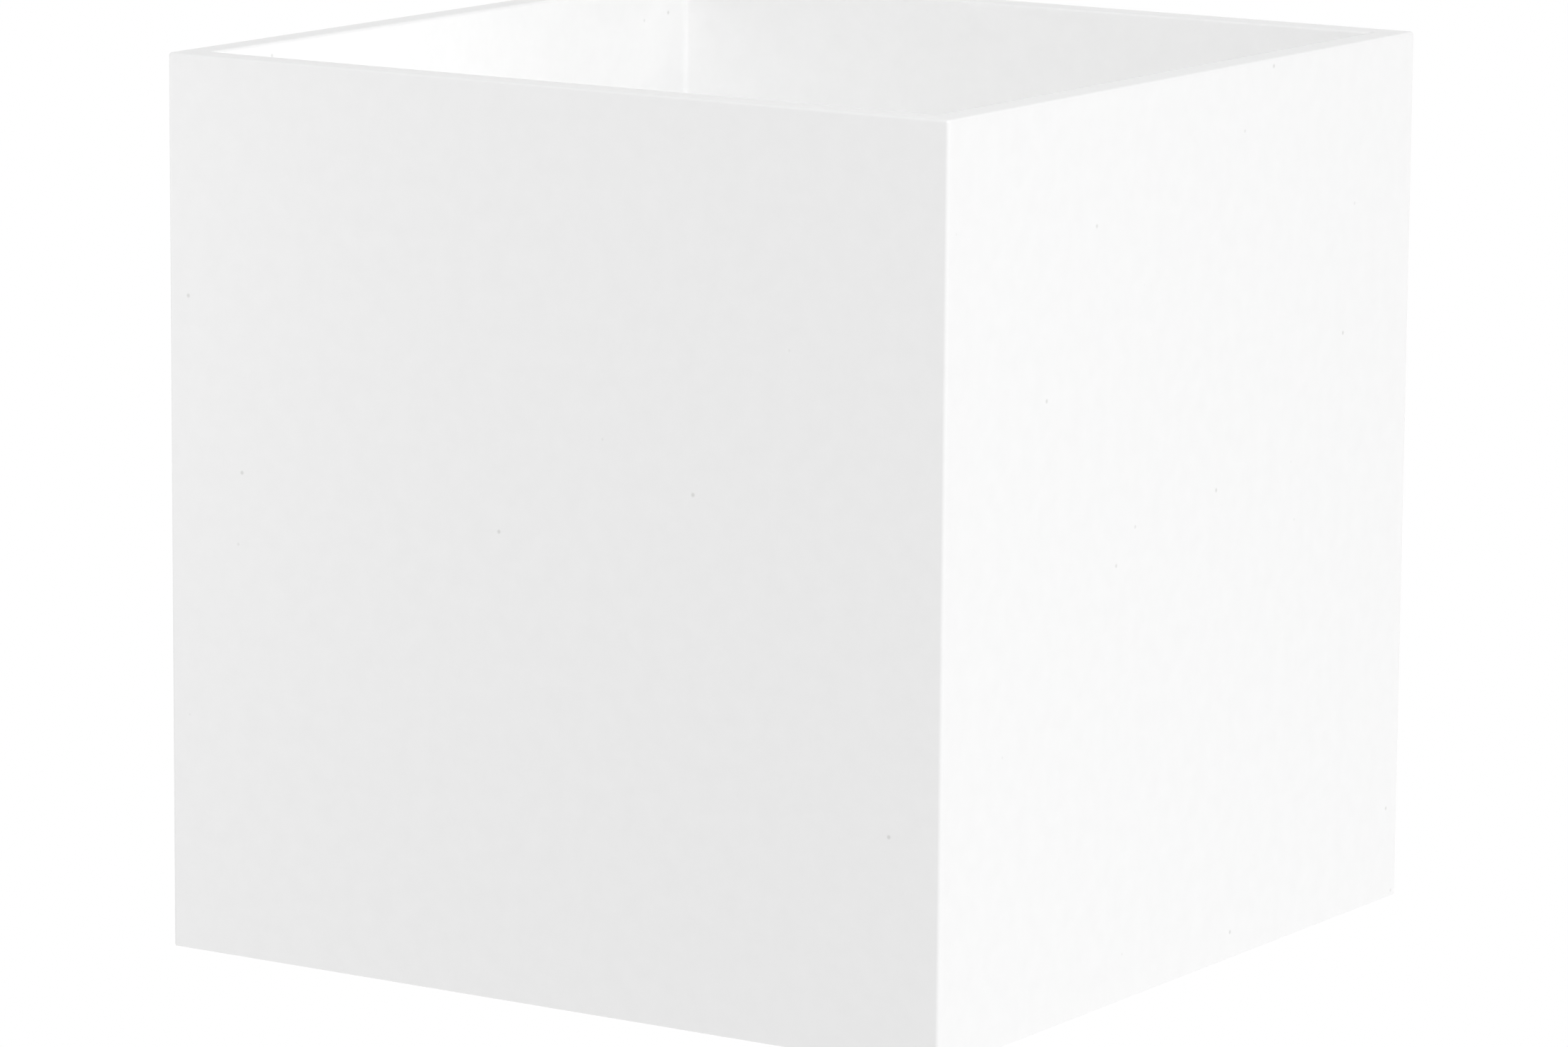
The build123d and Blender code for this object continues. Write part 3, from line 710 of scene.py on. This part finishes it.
# Diodes: a white frame with a pool of phosphor, repeated up the four sides of the board
def diode(frame_only):
    """One diode on the board's right side, its first row."""
    shape = bmesh.new()
    base = CORE_SIDE / 2
    depth = SPIGOT_FRONT + LED_FIRST
    top = base + LED_HEIGHT
    half_width, half_length = LED_WIDTH / 2, LED_LENGTH / 2
    pool_width, pool_length = half_width - LED_RIM, half_length - LED_RIM
    if frame_only:
        for side in (-1, 1):
            across = sorted((side * pool_width, side * half_width))
            slab(shape, (base, depth + across[0], -half_length), (top, depth + across[1], half_length))
            along = sorted((side * pool_length, side * half_length))
            slab(shape, (base, depth - pool_width, along[0]), (top, depth + pool_width, along[1]))
    else:
        pool_top = top - LED_POOL_DROP
        slab(shape, (base, depth - pool_width, -pool_length), (pool_top, depth + pool_width, pool_length))
    return shape


def end_diode(shape, frame_only):
    """The diode on the board's end, which faces away from the wall."""
    side_diode = diode(frame_only)
    depth = SPIGOT_FRONT + LED_FIRST
    back = Matrix.Translation((0, depth * MM, 0))
    swing = Matrix.Rotation(-math.pi / 2, 4, "Z")
    end = Matrix.Translation((0, (CORE_SIDE / 2 - SPIGOT_FRONT - CORE_LENGTH) * MM, 0))
    bmesh.ops.transform(side_diode, matrix=end @ swing @ back, verts=side_diode.verts)
    spare = bpy.data.meshes.new("spare")
    side_diode.to_mesh(spare)
    side_diode.free()
    shape.from_mesh(spare)


def diodes(name, slot, frame_only):
    """Every diode's frame or every diode's pool, as one piece."""
    shape = bmesh.new()
    repeated(shape, diode(frame_only), slot, rows=LED_ROWS, pitch=LED_PITCH, sides=4)
    end_diode(shape, frame_only)
    piece(name, mesh_of(name, shape), "capsule_leds", slot=slot, edge=0.06)


def capsule_leds():
    diodes("diode_frames", "white_polybutylene", True)
    diodes("diode_pools", "diode_phosphor", False)


# Leads, each a sleeve along the route that the lamp's own leads take, in millimetres
LEAD_ROUTES = {
    "lead_live": [(-6.9, -22.1, 0), (-14, -22.1, 0), (-17, -18.5, -6), (-13, -12.5, -11.5),
                  (-10, -9.9, -16), (-10, -9.9, -21.7)],
    "lead_neutral": [(6.9, -22.1, 0), (13.5, -22.1, 0), (15.5, -20.5, -8), (11.5, -16.5, -13.5),
                     (5.5, -13, -15), (0, -10.3, -16.8), (0, -9.9, -21.7)],
    "lead_earth": [(28, -7.1, -20.3), (28, -7.1, -13), (24, -7.9, -8.2), (14, -9.3, -8.2),
                   (10, -9.9, -13.5), (10, -9.9, -21.7)],
}


def centre_line(route):
    """Points along the smooth line that a route gives."""
    curve = bpy.data.curves.new("route", "CURVE")
    curve.dimensions = "3D"
    spline = curve.splines.new("NURBS")
    spline.points.add(len(route) - 1)
    for point, place in zip(spline.points, route):
        point.co = (*[v * MM for v in place], 1.0)
    spline.order_u = 3
    spline.use_endpoint_u = True
    spline.resolution_u = 12
    holder = bpy.data.objects.new("route", curve)
    bpy.context.scene.collection.objects.link(holder)
    bpy.context.view_layer.update()
    line = bpy.data.meshes.new_from_object(holder.evaluated_get(bpy.context.evaluated_depsgraph_get()))
    bpy.data.objects.remove(holder)
    return [v.co.copy() for v in line.vertices]


def tube(shape, line, radius, steps=20):
    """Adds a round tube along a line, with a map that goes once round it and along it."""
    wrap = shape.loops.layers.uv.get("wrap") or shape.loops.layers.uv.new("wrap")
    across = (line[1] - line[0]).orthogonal().normalized()
    rings = []
    for index, place in enumerate(line):
        along = (line[min(index + 1, len(line) - 1)] - line[max(index - 1, 0)]).normalized()
        across = (across - along * across.dot(along)).normalized()
        other = along.cross(across)
        rings.append([shape.verts.new(place + (across * math.cos(a) + other * math.sin(a)) * radius)
                      for a in [2 * math.pi * step / steps for step in range(steps)]])
    for number, (first, second) in enumerate(zip(rings, rings[1:])):
        for step in range(steps):
            after = (step + 1) % steps
            face = shape.faces.new((first[step], second[step], second[after], first[after]))
            for loop, (u, v) in zip(face.loops, ((step, 0), (step, 1), (step + 1, 1), (step + 1, 0))):
                loop[wrap].uv = (u / steps, (number + v) / len(rings))
    shape.faces.new(rings[0])
    shape.faces.new(rings[-1])


def leads():
    for node, route in LEAD_ROUTES.items():
        shape = bmesh.new()
        tube(shape, centre_line(route), LEAD_DIAMETER / 2 * MM)
        piece(node + "_sleeve", mesh_of(node, shape), node)


# The capsule's pins: each a wire that goes out, round a half circle and home
def capsule_pins():
    shape = bmesh.new()
    bend = NECK_BACK - PIN_LENGTH + PIN_WIRE / 2 + PIN_BEND_RADIUS
    turns = [math.radians(180 * step / PIN_BEND_STEPS) for step in range(PIN_BEND_STEPS + 1)]
    for x in (-PIN_X, PIN_X):
        loop = [(bend - PIN_BEND_RADIUS * math.sin(a), PIN_BEND_RADIUS * math.cos(a)) for a in turns]
        route = [(NECK_BACK, PIN_BEND_RADIUS)] + loop + [(NECK_BACK, -PIN_BEND_RADIUS)]
        tube(shape, [Vector((x, -depth, z)) * MM for depth, z in route], PIN_WIRE / 2 * MM)
    piece("looped_pins", mesh_of("pins", shape), "capsule_pins")


# The stage
def stage_floor():
    shape = bmesh.new()
    place = Matrix.Translation(Vector(LAMP_MIDDLE) * MM - Vector((0, 0, FLOOR_DROP)))
    bmesh.ops.create_circle(shape, cap_ends=True, segments=96, radius=FLOOR_RADIUS, matrix=place)
    floor = bpy.data.objects.new("floor", mesh_of("floor", shape))
    bpy.context.scene.collection.objects.link(floor)
    floor.data.materials.append(surface_of("pale_floor", "#f4f4f4", roughness=0.9)[0])


def daylight():
    """A white surround: full white where the camera, metal or glass sees it, and plain daylight elsewhere."""
    world = bpy.data.worlds.new("white_surround")
    bpy.context.scene.world = world
    world.use_nodes = True
    tree = world.node_tree
    tree.nodes.clear()
    rays = add(tree, "ShaderNodeLightPath").outputs
    direct = {0: rays["Is Camera Ray"], 1: rays["Is Glossy Ray"]}
    seen = add(tree, "ShaderNodeMath", direct, operation="MAXIMUM").outputs[0]
    through = {0: seen, 1: rays["Is Transmission Ray"]}
    seen = add(tree, "ShaderNodeMath", through, operation="MAXIMUM").outputs[0]
    strength = add(tree, "ShaderNodeMapRange", {"Value": seen, "To Min": DAYLIGHT, "To Max": 1.0})
    sky = add(tree, "ShaderNodeBackground", {"Color": linear("#ffffff"), "Strength": strength.outputs[0]})
    add(tree, "ShaderNodeOutputWorld", {"Surface": sky.outputs["Background"]})


def soft_lamp(name, place, size, power):
    """A round lamp that faces the middle of the object."""
    data = bpy.data.lights.new(name, "AREA")
    data.shape = "DISK"
    data.size = size
    data.energy = power
    lamp = bpy.data.objects.new(name, data)
    bpy.context.scene.collection.objects.link(lamp)
    lamp.location = place
    lamp.visible_camera = False
    aim = Vector(LAMP_MIDDLE) * MM - Vector(place)
    lamp.rotation_euler = aim.to_track_quat("-Z", "Y").to_euler()


def camera():
    """The camera, where the photograph was taken from."""
    data = bpy.data.cameras.new("camera")
    data.sensor_width = CAMERA_SENSOR
    data.lens = CAMERA_LENS
    data.clip_start = 0.01
    data.clip_end = 50
    shooter = bpy.data.objects.new("camera", data)
    bpy.context.scene.collection.objects.link(shooter)
    heading = Matrix.Rotation(math.radians(CAMERA_AZIMUTH), 4, "Z")
    tilt = Matrix.Rotation(math.radians(90 - CAMERA_ELEVATION), 4, "X")
    roll = Matrix.Rotation(math.radians(CAMERA_ROLL), 4, "Z")
    shooter.matrix_world = Matrix.Translation(CAMERA_PLACE) @ heading @ tilt @ roll
    bpy.context.scene.camera = shooter


kept_forms()
plate_studs()
thumb_nuts()
cable_grommet()
bridge_rivets()
capsule_cover()
capsule_leds()
capsule_pins()
leads()

stage_floor()
daylight()
for lamp_name, lamp_sizes in LAMPS.items():
    soft_lamp(lamp_name, **lamp_sizes)
camera()
bpy.context.scene.view_settings.view_transform = "Standard"
